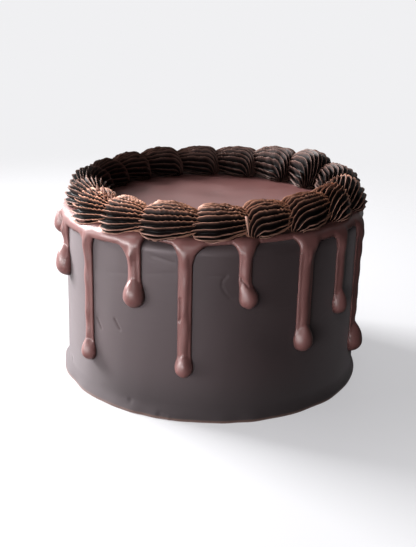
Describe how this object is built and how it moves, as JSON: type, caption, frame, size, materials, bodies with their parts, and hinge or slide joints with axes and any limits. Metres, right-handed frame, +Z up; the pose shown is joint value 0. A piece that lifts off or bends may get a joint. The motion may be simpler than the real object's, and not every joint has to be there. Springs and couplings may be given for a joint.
{
  "type": "chocolate drip cake",
  "caption": "Tall round chocolate cake with a smooth frosted wall, a poured ganache top that runs down in drips, and a border of ridged piped shells.",
  "frame": {"origin": "centre of the cake's base, on the surface it stands on", "axes": "+Z up through the cake; -Y towards the side that the picture shows"},
  "size_m": [0.1679, 0.1683, 0.1133],
  "materials": {
    "smooth_frosting": "dark chocolate frosting, smoothed, satin",
    "ganache": "milky chocolate ganache, set, semi-gloss",
    "piped_frosting": "dark chocolate frosting, piped, matte with fine torn ridges"
  },
  "bodies": {
    "root": {"cake_body": "smooth_frosting", "ganache": "ganache", "shell_01": "piped_frosting", "shell_02": "piped_frosting", "shell_03": "piped_frosting", "shell_04": "piped_frosting", "shell_05": "piped_frosting", "shell_06": "piped_frosting", "shell_07": "piped_frosting", "shell_08": "piped_frosting", "shell_09": "piped_frosting", "shell_10": "piped_frosting", "shell_11": "piped_frosting", "shell_12": "piped_frosting", "shell_13": "piped_frosting", "shell_14": "piped_frosting", "shell_15": "piped_frosting", "shell_16": "piped_frosting", "shell_17": "piped_frosting", "shell_18": "piped_frosting"}
  },
  "joints": []
}
